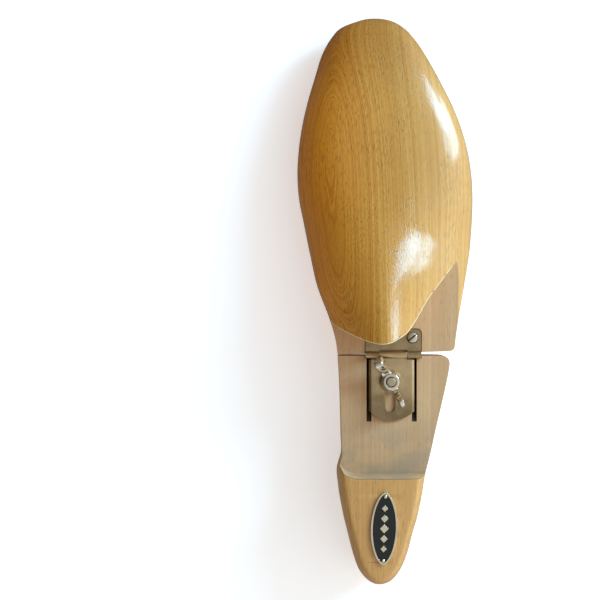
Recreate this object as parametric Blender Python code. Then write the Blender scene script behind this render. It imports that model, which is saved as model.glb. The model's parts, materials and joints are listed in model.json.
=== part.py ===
"""Hinged wooden shoe tree for a right shoe, lying sole down.

+Y points to the toe, +X to the outer (lateral) side of the foot, +Z up. The origin is under the
middle of the tree, on the surface that it lies on. Shapes are drawn in millimetres from the
"joint point": the middle of the hinge, straight below on that surface. mesh_object() turns them
into metres and moves them to the origin.
"""
import math

import bmesh
import bpy
import numpy as np
from mathutils import Matrix, Vector

# ---- driving dimensions, millimetres --------------------------------------------------------
JOINT_POINT = (3.2, -29.25, 0.0)     # the joint point, from the part's origin
SHELF_Z = 34.0                       # the flat, unlacquered tops beside the hinge
HEEL_TOP_Z = 44.0
HEEL_SHOULDER_Z = 35.0               # where the heel's flanks turn in to its top
GAP = 0.3                            # air left between pieces that touch

TOE_Y = 169.9                        # length of the forepart
TOE_TIP_X = -8.6
TOE_TIP_Z = 14.0
TONGUE_Z = 62.0                      # height of the instep tongue

HEEL_END_Y = -111.4
HEEL_FRONT_Y = 0.9                   # front face of the heel block

HINGE_Y = 1.25
HINGE_Z = SHELF_Z + 1.2
SHEET = 1.2                          # thickness of the hinge's steel
BARREL_R = 1.75
PIN_R = 0.75
LEAF_HALF_WIDTH = 13.6
LEAF_FRONT_Y = 13.8
KNUCKLE_HALF_WIDTH = 6.5             # the middle knuckle
SCREW_X = 9.3
SCREW_Y = 9.8
SCREW_HEAD_R = 2.6

PLATE_X = -0.8                       # middle of the adjuster plate
PLATE_HALF_WIDTH = 11.35
PLATE_END_Y = -30.7
PLATE_SIDE_END_Y = -26.0             # where the round end begins
PLATE_Z = SHELF_Z + GAP
SLOT_HALF_WIDTH = 2.5
SLOT_END_Y = -26.8

STUD_X = -1.5
STUD_Y = -11.6
STUD_R = 2.2
WASHER_R = 5.3
WASHER_H = 1.0
NUT_BASE_Z = PLATE_Z + SHEET + GAP + WASHER_H + GAP
NUT_BODY_H = 6.5
NUT_H = 13.0
NUT_TURN = math.radians(114.0)       # direction of one wing, from +X

BADGE_POINT = (-5.0, -82.7)
BADGE_HALF_LENGTH = 17.6
BADGE_HALF_WIDTH = 6.5
BADGE_Z = HEEL_TOP_Z + GAP
BADGE_TURN = math.radians(2.0)
BADGE_PIN_REACH = 15.6

# ---- shape of the forepart: (y, value) pairs ------------------------------------------------
LATERAL_SIDE = [(169.9, -8.6), (168.4, 0.3), (164.1, 7.1), (156.9, 13.2), (147.1, 19.3),
                (135.6, 25.5), (122.7, 31.7), (111.1, 35.9), (98.9, 38.9), (78.5, 40.8),
                (57.2, 39.5), (34.7, 35.1), (11.1, 30.9), (0.5, 29.8)]
MEDIAL_SIDE = [(169.9, -8.6), (168.1, -17.6), (164.7, -25.6), (159.3, -30.5), (150.2, -35.3),
               (140.4, -38.3), (127.6, -42.1), (117.3, -44.5), (103.1, -46.6), (90.9, -47.2),
               (78.5, -46.3), (66.3, -43.9), (51.0, -40.9), (34.5, -37.2), (18.4, -31.2),
               (8.8, -28.4), (0.5, -27.2)]
TOP_LINE = [(169.9, TOE_TIP_Z), (167, 20.5), (161, 25.3), (151, 29.2), (141, 31.6), (120, 34.8),
            (100, 37.4), (80, 40.9), (65, 45.5), (50, 50.7), (35, 54.9), (15, 59.5), (0, 63.1)]
DOME_LATERAL = [(169.9, 2.9), (140, 3.45), (110, 3.7), (80, 2.8), (62, 1.8), (50, 1.48), (40, 1.32),
                (28, 1.12), (0, 1.12)]
DOME_MEDIAL = [(169.9, 2.5), (130, 2.8), (90, 2.8), (60, 2.3), (40, 1.9), (20, 1.7), (0, 1.6)]
CROWN_SOFTNESS = 0.1                 # how far the dome's crest is rounded, as a share of its width
SOLE_LINE = [(169.9, TOE_TIP_Z), (168, 10.5), (161, 7.4), (151, 5), (130, 2), (110, 0.1),
             (95, -0.6), (65, -0.6), (52, 0.6), (36, 4), (18, 8.5), (0, 12)]
GIRTH_LINE = [(169.9, TOE_TIP_Z), (161, 14.2), (140, 13.5), (100, 13), (75, 14), (60, 17.5), (50, 23.5),
              (42, 28), (33, 31), (20, 33.5), (0, 35)]
CROWN_LINE = [(169.9, TOE_TIP_X), (140, -9), (90, -10.5), (60, -8), (30, -5.5), (6, -4.4), (0, -4.4)]
SOLE_SQUARENESS = [(169.9, 2.1), (130, 2.5), (80, 2.8), (45, 2.6), (0, 2.9)]
FORE_CORNER_R = 2.2
JOINT_FACE = (1.35, 0.032)           # y at the medial corner, and its slant per mm of x
TONGUE_FOOT = [(47.5, 66), (31.7, 47.7), (25.3, 42.3), (20.3, 37.5), (13.8, 31.1), (9.6, 25.7), (6.1, 21.6),
               (2.5, 18.3), (-0.6, 17), (-6.3, 15.6), (-14.6, 16), (-20, 16.6), (-24.9, 17.2),
               (-32.7, 18.2), (-47.5, 23)]
TONGUE_LIP = [(51.9, 58), (36.1, 39.8), (29.9, 34.5), (24.9, 29.8), (18.8, 23.6), (14.8, 18.3), (10.9, 14),
              (6.4, 10.2), (1.5, 8.2), (-6.3, 6.6), (-16.2, 7.1), (-22.4, 7.9), (-27.9, 8.7),
              (-35.9, 9.7), (-50.5, 14.5)]

# ---- shape of the heel block ----------------------------------------------------------------
HEEL_MEDIAL = [(0.9, -27.1), (-8.5, -26.5), (-25.4, -25.8), (-39.4, -25.4), (-49.2, -25.3), (-52.6, -26.3),
               (-56.1, -27.2), (-63.9, -26.7), (-74.7, -25.1), (-85.7, -22.5), (-95.8, -19.9),
               (-103.8, -17), (-108.4, -13.5), (-111.4, -7)]
HEEL_LATERAL = [(0.9, 28.4), (-7.0, 27.2), (-19.8, 24.5), (-33.8, 21.2), (-49.1, 17.8), (-57.0, 15.8),
                (-66.7, 14.2), (-76.7, 12.2), (-85.7, 9.6), (-94.8, 7.2), (-102.8, 4.1), (-107.3, 1.1),
                (-110.5, -2.9), (-111.4, -7)]
HEEL_CORNER_R = 4.5
STEP_FOOT = [(45.5, -54.2), (24.5, -55.6), (16.5, -56.6), (6.5, -57), (-11.5, -57), (-19.5, -56.8),
             (-23.5, -55.4), (-27, -51.8), (-31.5, -45), (-44.5, -24)]
HEEL_SOLE_LINE = [(-111.4, 3.5), (-108, 0.6), (-103, 0), (-63, 0), (-55, 1), (-39, 4.6),
                  (-20, 8.6), (1, 12)]
HEEL_BEVEL = (2.6, 2.8)              # width of the top's bevel, medial and lateral


def spline(pairs):
    """The smooth curve through (place, value) pairs, as a function of the place."""
    place, value = (np.array(column, float) for column in zip(*sorted(pairs)))
    slope = np.gradient(value, place)

    def at(s):
        s = np.clip(s, place[0], place[-1])
        i = np.clip(np.searchsorted(place, s) - 1, 0, len(place) - 2)
        step = place[i + 1] - place[i]
        u = (s - place[i]) / step
        start = (1 + 2 * u) * (1 - u) ** 2 * value[i] + u * (1 - u) ** 2 * step * slope[i]
        end = u * u * (3 - 2 * u) * value[i + 1] + u * u * (u - 1) * step * slope[i + 1]
        return start + end

    return at


def from_end(pairs, end):
    """A spline in the square root of the distance from a rounded end, which comes out round."""
    curve = spline([(math.sqrt(abs(y - end)), value) for y, value in pairs])
    return lambda y: float(curve(math.sqrt(abs(y - end))))


def rounded_corner(y, face, radius):
    """How far a side is drawn in at y, where it turns the corner to a face across it."""
    into = max(radius - abs(face - y), 0.0)
    return radius - math.sqrt(radius ** 2 - into ** 2)


def plan_curve(points, count, guide=None):
    """count points on the smooth curve through plan points, spaced evenly along it or its guide."""
    points = np.array(points, float)
    steps = np.diff(np.array(guide or points, float), axis=0)
    run = np.concatenate([[0], np.cumsum(np.hypot(*steps.T))])
    along_x, along_y = spline(zip(run, points[:, 0])), spline(zip(run, points[:, 1]))
    return [(float(along_x(s)), float(along_y(s))) for s in np.linspace(0, run[-1], count)]


def arc(centre, radius, start, end, steps):
    """Points of an arc, with angles in degrees."""
    angles = [math.radians(start + (end - start) * i / steps) for i in range(steps + 1)]
    return [(centre[0] + radius * math.cos(a), centre[1] + radius * math.sin(a)) for a in angles]


# ---- making meshes --------------------------------------------------------------------------
def mesh_object(name, verts, faces, pivot=(0, 0, 0)):
    """A mesh object from millimetre points about the joint point, with its origin at pivot."""
    mesh = bpy.data.meshes.new(name)
    mesh.from_pydata([tuple((Vector(v) - Vector(pivot)) * 0.001) for v in verts], [], faces)
    form = bmesh.new()
    form.from_mesh(mesh)
    bmesh.ops.recalc_face_normals(form, faces=form.faces)
    form.to_mesh(mesh)
    form.free()
    thing = bpy.data.objects.new(name, mesh)
    thing.location = (Vector(pivot) + Vector(JOINT_POINT)) * 0.001
    bpy.context.scene.collection.objects.link(thing)
    return thing


def ring_faces(rings, count, closed=True):
    """Quads between successive rings of count points, and caps when closed."""
    faces = []
    for r in range(rings - 1):
        for i in range(count):
            j = (i + 1) % count
            faces.append((r * count + i, r * count + j, (r + 1) * count + j, (r + 1) * count + i))
    if closed:
        faces.append(tuple(range(count)))
        faces.append(tuple((rings - 1) * count + i for i in range(count)))
    return faces


def prism(name, outline, low, high, axis="Z", pivot=(0, 0, 0)):
    """A closed outline stretched along an axis: (x, y) for Z, (y, z) for X, (x, z) for Y."""
    order = {"Z": lambda a, b, c: (a, b, c), "X": lambda a, b, c: (c, a, b), "Y": lambda a, b, c: (a, c, b)}
    verts = [order[axis](a, b, c) for c in (low, high) for a, b in outline]
    return mesh_object(name, verts, ring_faces(2, len(outline)), pivot)


def box(name, low, high, pivot=(0, 0, 0)):
    outline = [(low[0], low[1]), (high[0], low[1]), (high[0], high[1]), (low[0], high[1])]
    return prism(name, outline, low[2], high[2], pivot=pivot)


def lathe(name, profile, centre, sides=24, pivot=(0, 0, 0)):
    """A solid of revolution about a vertical line, from (radius, z) pairs; radius 0 is a point."""
    verts, faces = [], []
    rows = []
    for radius, z in profile:
        if radius == 0:
            rows.append([len(verts)] * sides)
            verts.append((centre[0], centre[1], z))
            continue
        rows.append([len(verts) + i for i in range(sides)])
        for i in range(sides):
            a = 2 * math.pi * i / sides
            verts.append((centre[0] + radius * math.cos(a), centre[1] + radius * math.sin(a), z))
    for lower, upper in zip(rows, rows[1:]):
        for i in range(sides):
            j = (i + 1) % sides
            corners = [lower[i], lower[j], upper[j], upper[i]]
            faces.append(tuple(dict.fromkeys(corners)))
    for row in (rows[0], rows[-1]):
        if row[0] != row[1]:
            faces.append(tuple(row))
    return mesh_object(name, verts, faces, pivot)


def rod_x(name, radius, low, high, y=HINGE_Y, z=HINGE_Z, sides=24, pivot=(0, 0, 0)):
    """A round rod along X."""
    outline = [(y + radius * math.cos(2 * math.pi * i / sides), z + radius * math.sin(2 * math.pi * i / sides))
               for i in range(sides)]
    return prism(name, outline, low, high, axis="X", pivot=pivot)


def combine(target, tools, operation):
    """Cut the target with each tool, or join the tools to it, and keep the tools as guides."""
    for tool in tools:
        cut = target.modifiers.new(tool.name, "BOOLEAN")
        cut.operation = operation
        cut.object = tool
        tool.hide_render = True
        tool.display_type = "WIRE"
    return target


def finish(thing, color, roughness, metallic=0.0, parent=None):
    """Material, smooth shading and the parent that carries the piece."""
    surface = bpy.data.materials.new(thing.name)
    surface.use_nodes = True
    shader = surface.node_tree.nodes["Principled BSDF"]
    shader.inputs["Base Color"].default_value = (*color, 1)
    shader.inputs["Roughness"].default_value = roughness
    shader.inputs["Metallic"].default_value = metallic
    thing.data.materials.append(surface)
    thing.data.shade_smooth()
    thing.data.set_sharp_from_angle(angle=math.radians(30))
    if parent:
        settled = thing.matrix_world != Matrix()
        place = thing.matrix_world.copy() if settled else Matrix.Translation(thing.location)
        thing.parent = parent
        thing.matrix_parent_inverse = Matrix.Translation(-parent.location)
        thing.matrix_basis = place
    return thing


def axis_point(name, point):
    """An empty on a joint's axis."""
    empty = bpy.data.objects.new(name, None)
    empty.location = (Vector(point) + Vector(JOINT_POINT)) * 0.001
    empty.empty_display_size = 0.02
    bpy.context.scene.collection.objects.link(empty)
    return empty


# ---- wooden pieces --------------------------------------------------------------------------
def dome(across, bend):
    """Height of the dome, as a share of its crest's, at a share of the way across to its edge."""
    eased = math.sqrt(across ** 2 * (1 - CROWN_SOFTNESS ** 2) + CROWN_SOFTNESS ** 2)
    return (max(1 - eased ** bend, 0.0) / (1 - CROWN_SOFTNESS ** bend)) ** (1 / bend)


def forepart_ring(y, side, around=32):
    """One cross-section of the last: an upper dome over a squarer lower half."""
    lateral = side["lateral"](y) - rounded_corner(y, JOINT_FACE[0], FORE_CORNER_R)
    medial = side["medial"](y)
    top, sole, girth = side["top"](y), side["sole"](y), side["girth"](y)
    crown, square = side["crown"](y), side["square"](y)
    ring = []
    for i in range(around):
        a = 2 * math.pi * i / around
        c, s = math.cos(a), math.sin(a)
        bend = side["dome_lateral" if c > 0 else "dome_medial"](y) if s > 0 else square
        across = abs(c) ** (2 / bend)
        up = dome(across, bend) if s > 0 else abs(s) ** (2 / bend)
        x = crown + across * ((lateral - crown) if c > 0 else (medial - crown))
        z = girth + up * ((top - girth) if s > 0 else (sole - girth))
        ring.append((x, y, max(z, 0.0)))
    return ring


def forepart_body():
    """The whole last from the joint face to the toe, before the shelf is cut."""
    side = {key: from_end(pairs, TOE_Y) for key, pairs in (
        ("lateral", LATERAL_SIDE), ("medial", MEDIAL_SIDE), ("top", TOP_LINE), ("sole", SOLE_LINE),
        ("girth", GIRTH_LINE), ("crown", CROWN_LINE), ("square", SOLE_SQUARENESS),
        ("dome_lateral", DOME_LATERAL), ("dome_medial", DOME_MEDIAL))}
    reach = math.sqrt(TOE_Y)
    stations = [TOE_Y - (reach * i / 34) ** 2 for i in range(33, 0, -1)]
    stations = [JOINT_FACE[0] + rise for rise in (0, 0.25, 0.9, FORE_CORNER_R)] + stations
    around = 32
    rings = [forepart_ring(y, side, around) for y in stations]
    face_y, slant = JOINT_FACE
    for r, y in enumerate(stations[:4]):
        fade = 1 - 0.2 * r
        rings[r] = [(x, y + fade * slant * (x - MEDIAL_SIDE[-1][1]), z) for x, _, z in rings[r]]
    verts = [v for ring in rings for v in ring]
    faces = ring_faces(len(rings), around, closed=False)
    faces.append(tuple(range(around)))
    tip = len(verts)
    verts.append((TOE_TIP_X, TOE_Y, TOE_TIP_Z))
    last = (len(rings) - 1) * around
    faces += [(last + i, last + (i + 1) % around, tip) for i in range(around)]
    return mesh_object("forepart", verts, faces)


def ruled_cutter(name, foot, lip, back, rise):
    """Everything above the shelf on one side of a wall, ruled from its foot to its lip."""
    count = len(foot)
    verts = [(x, y, SHELF_Z) for x, y in foot + back] + [(x, y, SHELF_Z + rise) for x, y in lip + back]
    return mesh_object(name, verts, ring_faces(2, count + len(back)))


def shelf_cutter():
    """The space behind the tongue, whose rear wall is undercut."""
    foot, lip = plan_curve(TONGUE_FOOT, 36), plan_curve(TONGUE_LIP, 36, TONGUE_FOOT)
    past = 1.2                       # the wall goes on past the lip's height by this factor
    above = [(f[0] + (g[0] - f[0]) * past, f[1] + (g[1] - f[1]) * past) for f, g in zip(foot, lip)]
    back = [(-60, 30), (-60, -20), (60, -20), (60, 66)]
    return ruled_cutter("cut_shelf", foot, above, back, (TONGUE_Z - SHELF_Z) * past)


def forepart():
    body = forepart_body()
    half = LEAF_HALF_WIDTH + 0.5
    corner = 2.4
    mortise = [(-half, -3), (half, -3)]
    mortise += arc((half - corner, LEAF_FRONT_Y + 0.5 - corner), corner, 0, 90, 4)
    mortise += arc((corner - half, LEAF_FRONT_Y + 0.5 - corner), corner, 90, 180, 4)
    tools = [shelf_cutter(), prism("cut_mortise", mortise, SHELF_Z - SHEET, SHELF_Z + 6),
             rod_x("cut_fore_groove", BARREL_R + 0.4, -half, half)]
    for side, x in (("medial", -SCREW_X), ("lateral", SCREW_X)):
        tools.append(lathe("cut_pilot_" + side, [(1.6, SHELF_Z - 15), (1.6, SHELF_Z + 1)], (x, SCREW_Y), 12))
    return finish(combine(body, tools, "DIFFERENCE"), (0.50, 0.26, 0.06), 0.25)


def heel_outline(steps=26):
    """The plan, from the medial front round the heel to the lateral front, with paired sides."""
    medial, lateral = from_end(HEEL_MEDIAL, HEEL_END_Y), from_end(HEEL_LATERAL, HEEL_END_Y)
    reach = math.sqrt(HEEL_FRONT_Y - HEEL_END_Y)
    stations = [HEEL_END_Y + (reach * i / steps) ** 2 for i in range(1, steps)]
    stations = [y for y in stations if y < HEEL_FRONT_Y - HEEL_CORNER_R]
    stations += [HEEL_FRONT_Y - HEEL_CORNER_R * (1 - math.sin(math.radians(a))) for a in range(0, 91, 18)]
    outer = [(lateral(y) - rounded_corner(y, HEEL_FRONT_Y, HEEL_CORNER_R), y) for y in stations]
    return [(medial(y), y) for y in reversed(stations)] + [(HEEL_MEDIAL[-1][1], HEEL_END_Y)] + outer


def heel_block_body():
    """The block and the heel at full height: rings up the sides, drawn in towards a spine."""
    outline = heel_outline()
    count = len(outline)
    sole = spline(HEEL_SOLE_LINE)
    medial, lateral = HEEL_BEVEL
    levels = [(5.5, 5.5, 0, None), (2.4, 2.4, 1.0, None), (0.7, 0.7, 3.4, None), (0, 0, 7.5, None),
              (0, 0, None, HEEL_SHOULDER_Z), (medial - 0.7, lateral - 0.7, None, HEEL_TOP_Z - 1.7),
              (medial, lateral, None, HEEL_TOP_Z - 0.7),
              (medial + 1.2, lateral + 1.2, None, HEEL_TOP_Z - 0.2),
              (medial + 3, lateral + 3, None, HEEL_TOP_Z)]
    verts = []
    for draw_medial, draw_lateral, above_sole, height in levels:
        for x, y in outline:
            spine_x, spine_y = -6.5 + 0.062 * (y - HEEL_END_Y), max(y, HEEL_END_Y + 13)
            away = Vector((spine_x - x, spine_y - y))
            blend = 0.5 - 0.5 * away.normalized().x
            draw = (draw_medial + (draw_lateral - draw_medial) * blend) / away.length
            px, py = x + away.x * draw, y + away.y * draw
            base = max(float(sole(py)), 0.0)
            verts.append((px, py, height if above_sole is None else base + above_sole))
    faces = ring_faces(len(levels), count, closed=False)
    for start in (0, (len(levels) - 1) * count):
        for i in range(count // 2):
            across = [start + i, start + i + 1, start + count - 2 - i, start + count - 1 - i]
            faces.append(tuple(dict.fromkeys(across)))
    return mesh_object("heel_block", verts, faces)


def kerf_cutter(name, low, high):
    """A groove left by a circular saw, running out towards the heel."""
    blade, depth, run_out = 45.0, 9.0, -31.5
    reach = math.sqrt(2 * blade * depth - depth ** 2)
    start = run_out + reach
    profile = [(4, SHELF_Z + 3), (4, SHELF_Z - depth)]
    for i in range(9):
        y = start - reach * i / 8
        profile.append((y, SHELF_Z - math.sqrt(blade ** 2 - (start - y) ** 2) + blade - depth))
    profile.append((run_out, SHELF_Z + 3))
    return prism(name, profile, low, high, axis="X")


def heel_block(parent):
    body = heel_block_body()
    slope, rise = 0.16, HEEL_TOP_Z + 3 - SHELF_Z
    foot = plan_curve(STEP_FOOT, 24)
    lip = [(x, y - slope * rise) for x, y in foot]
    milled = ruled_cutter("cut_heel_step", foot, lip, [(-45, 8), (45, 8)], rise)
    inner, outer = PLATE_HALF_WIDTH - 1.4, PLATE_HALF_WIDTH + 1.0
    tools = [milled, kerf_cutter("cut_kerf_medial", PLATE_X - outer, PLATE_X - inner),
             kerf_cutter("cut_kerf_lateral", PLATE_X + inner, PLATE_X + outer),
             rod_x("cut_heel_groove", BARREL_R + 0.4, -LEAF_HALF_WIDTH - 0.5, LEAF_HALF_WIDTH + 0.5),
             lathe("cut_stud_hole", [(3.1, SHELF_Z - 19.5), (3.1, SHELF_Z + 1)], (STUD_X, STUD_Y), 16)]
    for name, x, y in badge_pins():
        tools.append(lathe("cut_" + name, [(1.0, HEEL_TOP_Z - 6), (1.0, HEEL_TOP_Z + 1)], (x, y), 12))
    return finish(combine(body, tools, "DIFFERENCE"), (0.48, 0.31, 0.15), 0.45, parent=parent)


# ---- the hinge ------------------------------------------------------------------------------
def hinge_leaf():
    half, corner = LEAF_HALF_WIDTH, 2.3
    low, high = SHELF_Z - SHEET + GAP, SHELF_Z + GAP
    cutout, strap_y = KNUCKLE_HALF_WIDTH + 0.35, HINGE_Y + 0.45
    outline = [(-half, strap_y), (-cutout, strap_y), (-cutout, 3.8),
               (cutout, 3.8), (cutout, strap_y), (half, strap_y)]
    outline += arc((half - corner, LEAF_FRONT_Y - corner), corner, 0, 90, 5)
    outline += arc((corner - half, LEAF_FRONT_Y - corner), corner, 90, 180, 5)
    leaf = prism("hinge_leaf", outline, low, high)
    knuckles = [rod_x("join_knuckle_medial", BARREL_R, -half, -cutout),
                rod_x("join_knuckle_lateral", BARREL_R, cutout, half)]
    combine(leaf, knuckles, "UNION")
    tools = [rod_x("cut_leaf_bore", PIN_R + GAP, -half - 1, half + 1)]
    for side, x in (("medial", -SCREW_X), ("lateral", SCREW_X)):
        tools.append(lathe("cut_sink_" + side, [(1.6, low - 1), (1.6, low), (SCREW_HEAD_R + 0.35, high + 0.01),
                                                (SCREW_HEAD_R + 0.35, high + 1)], (x, SCREW_Y), 20))
    return finish(combine(leaf, tools, "DIFFERENCE"), (0.42, 0.37, 0.30), 0.35, 1.0)


def leaf_screw(name, x, slot_turn):
    """A slotted raised countersunk wood screw."""
    top = SHELF_Z + GAP
    profile = [(0, top - 14), (0.9, top - 12), (1.25, top - 4), (1.25, top - 0.95),
               (SCREW_HEAD_R, top + 0.12), (SCREW_HEAD_R - 0.1, top + 0.3), (1.6, top + 0.75), (0, top + 0.9)]
    screw = lathe(name, profile, (x, SCREW_Y), 20)
    reach = SCREW_HEAD_R + 0.5
    slot = [(-reach, -0.35), (reach, -0.35), (reach, 0.35), (-reach, 0.35)]
    turned = [(x + a * math.cos(slot_turn) - b * math.sin(slot_turn),
               SCREW_Y + a * math.sin(slot_turn) + b * math.cos(slot_turn)) for a, b in slot]
    combine(screw, [prism("cut_slot_" + name, turned, top + 0.2, top + 2)], "DIFFERENCE")
    return finish(screw, (0.62, 0.58, 0.50), 0.25, 1.0)


def hinge_pin():
    half = LEAF_HALF_WIDTH - 0.2
    return finish(rod_x("hinge_pin", PIN_R, -half, half, sides=16), (0.45, 0.42, 0.38), 0.3, 1.0)


def channel_section():
    """The adjuster plate's section in (x, z): a flat top, two bends and two flanges."""
    half, bend, deep = PLATE_HALF_WIDTH, 1.7, 6.5
    top, wall = PLATE_Z + SHEET, 1.1
    inner_bend = bend - wall
    outer = arc((PLATE_X + half - bend, top - bend), bend, 0, 90, 4)
    outer += arc((PLATE_X - half + bend, top - bend), bend, 90, 180, 4)
    inner = arc((PLATE_X - half + bend, top - bend), inner_bend, 180, 90, 3)
    inner = [(x, min(z, PLATE_Z)) for x, z in inner]
    inner += [(x, min(z, PLATE_Z)) for x, z in arc((PLATE_X + half - bend, top - bend), inner_bend, 90, 0, 3)]
    left, right = PLATE_X - half, PLATE_X + half
    return ([(right, SHELF_Z - deep)] + outer + [(left, SHELF_Z - deep), (left + wall, SHELF_Z - deep)]
            + inner + [(right - wall, SHELF_Z - deep)])


def adjuster_plate(parent):
    """The slotted channel with the middle knuckle; its flanges run in the heel block's kerfs."""
    front = HINGE_Y - BARREL_R - 0.6
    plate = prism("adjuster_plate", channel_section(), PLATE_END_Y, front, axis="Y", pivot=AXIS)
    strap = box("join_strap", (-KNUCKLE_HALF_WIDTH, front - 1, PLATE_Z),
                (KNUCKLE_HALF_WIDTH, HINGE_Y, PLATE_Z + SHEET))
    knuckle = rod_x("join_knuckle_middle", BARREL_R, -KNUCKLE_HALF_WIDTH, KNUCKLE_HALF_WIDTH)
    combine(plate, [strap, knuckle], "UNION")
    sagitta = PLATE_SIDE_END_Y - PLATE_END_Y
    radius = (PLATE_HALF_WIDTH ** 2 + sagitta ** 2) / (2 * sagitta)
    sweep = math.degrees(math.asin(PLATE_HALF_WIDTH / radius))
    end = arc((PLATE_X, PLATE_END_Y + radius), radius, 270 - sweep, 270 + sweep, 12)
    corners = [(PLATE_X + 14, PLATE_SIDE_END_Y), (PLATE_X + 14, PLATE_END_Y - 3),
               (PLATE_X - 14, PLATE_END_Y - 3), (PLATE_X - 14, PLATE_SIDE_END_Y)]
    round_end = prism("cut_round_end", end + corners, SHELF_Z - 9, SHELF_Z + 4)
    below = [(front + 2, SHELF_Z - 6.2), (-4, SHELF_Z - 6.2), (-25.5, SHELF_Z - 1.6), (-27.5, PLATE_Z),
             (PLATE_END_Y - 3, PLATE_Z), (PLATE_END_Y - 3, SHELF_Z - 9), (front + 2, SHELF_Z - 9)]
    taper = prism("cut_flange_taper", below, PLATE_X - 14, PLATE_X + 14, axis="X")
    half = SLOT_HALF_WIDTH
    slot = arc((STUD_X, STUD_Y), half, 0, 180, 8) + arc((STUD_X, SLOT_END_Y + half), half, 180, 360, 8)
    tools = [round_end, taper, prism("cut_slot", slot, SHELF_Z - 2, SHELF_Z + 4),
             rod_x("cut_plate_bore", PIN_R + GAP, -LEAF_HALF_WIDTH, LEAF_HALF_WIDTH)]
    return finish(combine(plate, tools, "DIFFERENCE"), (0.42, 0.37, 0.30), 0.35, 1.0, parent)


# ---- the clamp ------------------------------------------------------------------------------
def clamp_stud(parent):
    """Machine thread above for the wing nut, coarse wood thread below."""
    profile = [(0, SHELF_Z - 19), (1.4, SHELF_Z - 17)]
    for i in range(5):
        z = SHELF_Z - 16 + 2.4 * i
        profile += [(1.9, z), (2.7, z + 0.7), (1.9, z + 1.4)]
    top = NUT_BASE_Z + NUT_BODY_H
    profile += [(STUD_R, SHELF_Z - 3), (STUD_R, top), (STUD_R - 0.6, top + 0.6)]
    stud = lathe("clamp_stud", profile, (STUD_X, STUD_Y), 16, NUT_AXIS)
    return finish(stud, (0.6, 0.57, 0.5), 0.25, 1.0, parent)


def clamp_washer(parent):
    low = PLATE_Z + SHEET + GAP
    disc = [(WASHER_R, low), (WASHER_R, low + WASHER_H)]
    washer = lathe("clamp_washer", disc, (STUD_X, STUD_Y), 24, NUT_AXIS)
    hole = lathe("cut_washer_hole", [(STUD_R + 0.35, low - 1), (STUD_R + 0.35, low + 3)], (STUD_X, STUD_Y), 16)
    return finish(combine(washer, [hole], "DIFFERENCE"), (0.6, 0.56, 0.5), 0.3, 1.0, parent)


def wing(name, turn, lean, root):
    """One wing: a rounded ear drawn in (reach, height), half as thick as root at its root, leaning."""
    ear = arc((10.3, NUT_H - 3.3), 3.3, -50, 105, 8)
    outline = [(2.9, 1.0), (5.0, 1.4), (8.2, 3.6)] + ear + [(6.6, 8.6), (4.6, 6.0), (2.9, 6.1)]
    verts = []
    for side in (-1, 1):
        for reach, height in outline:
            thick = root - 0.06 * reach
            across = side * thick + lean * (height / NUT_H) ** 2
            verts.append((STUD_X + reach * math.cos(turn) - across * math.sin(turn),
                          STUD_Y + reach * math.sin(turn) + across * math.cos(turn), NUT_BASE_Z + height))
    return mesh_object(name, verts, ring_faces(2, len(outline)))


def wing_nut(parent):
    base = NUT_BASE_Z
    profile = [(5.2, base), (5.5, base + 0.4), (5.5, base + 1.2), (4.3, base + NUT_BODY_H - 0.8),
               (3.8, base + NUT_BODY_H)]
    nut = lathe("wing_nut", profile, (STUD_X, STUD_Y), 24, NUT_AXIS)
    wings = [wing("join_wing_front", NUT_TURN, 2.4, 2.6), wing("join_wing_rear", NUT_TURN + math.pi, 0.4, 1.8)]
    combine(nut, wings, "UNION")
    hole = [(STUD_R + GAP, base - 1), (STUD_R + GAP, base + NUT_H)]
    bore = lathe("cut_nut_bore", hole, (STUD_X, STUD_Y), 16)
    return finish(combine(nut, [bore], "DIFFERENCE"), (0.75, 0.72, 0.66), 0.12, 1.0, parent)


# ---- the badge ------------------------------------------------------------------------------
def almond(half_length, half_width, steps=40):
    """A pointed oval about the badge's middle, its long axis along the heel."""
    shape = []
    for i in range(steps):
        a = 2 * math.pi * (i + 0.5) / steps
        c = math.cos(a)
        shape.append((half_width * math.copysign(abs(c) ** 1.2, c), half_length * math.sin(a)))
    return [badge_place(x, y) for x, y in shape]


def badge_place(x, y):
    """A point given from the badge's middle, in the plan."""
    c, s = math.cos(BADGE_TURN), math.sin(BADGE_TURN)
    return BADGE_POINT[0] + x * c + y * s, BADGE_POINT[1] - x * s + y * c


def badge_pins():
    return [(name, *badge_place(0, y)) for name, y in (("badge_pin_front", BADGE_PIN_REACH),
                                                       ("badge_pin_rear", -BADGE_PIN_REACH))]


def badge(parent):
    """A metal plate with a sunk field, its dark inlay, and the two pins that hold it."""
    rim, hole = 0.9, 0.95
    plate = prism("badge_plate", almond(BADGE_HALF_LENGTH, BADGE_HALF_WIDTH), BADGE_Z, BADGE_Z + 1.0)
    field = (BADGE_HALF_LENGTH - rim, BADGE_HALF_WIDTH - rim)
    tools = [prism("cut_field", almond(*field), BADGE_Z + 0.4, BADGE_Z + 2)]
    inlay = prism("badge_inlay", almond(field[0] - GAP, field[1] - GAP), BADGE_Z + 0.7, BADGE_Z + 0.98)
    for name, x, y in badge_pins():
        tools.append(lathe("cut_plate_" + name, [(hole, BADGE_Z - 1), (hole, BADGE_Z + 2)], (x, y), 12))
        pin = lathe(name, [(0, HEEL_TOP_Z - 5.5), (0.62, HEEL_TOP_Z - 4.5), (0.62, BADGE_Z + 1.0),
                           (0.4, BADGE_Z + 1.2), (0, BADGE_Z + 1.25)], (x, y), 12)
        finish(pin, (0.6, 0.57, 0.5), 0.3, 1.0, parent)
    finish(combine(plate, tools, "DIFFERENCE"), (0.62, 0.57, 0.47), 0.3, 1.0, parent)
    finish(combine(inlay, tools[1:], "DIFFERENCE"), (0.02, 0.018, 0.015), 0.3, 0.0, parent)


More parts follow.
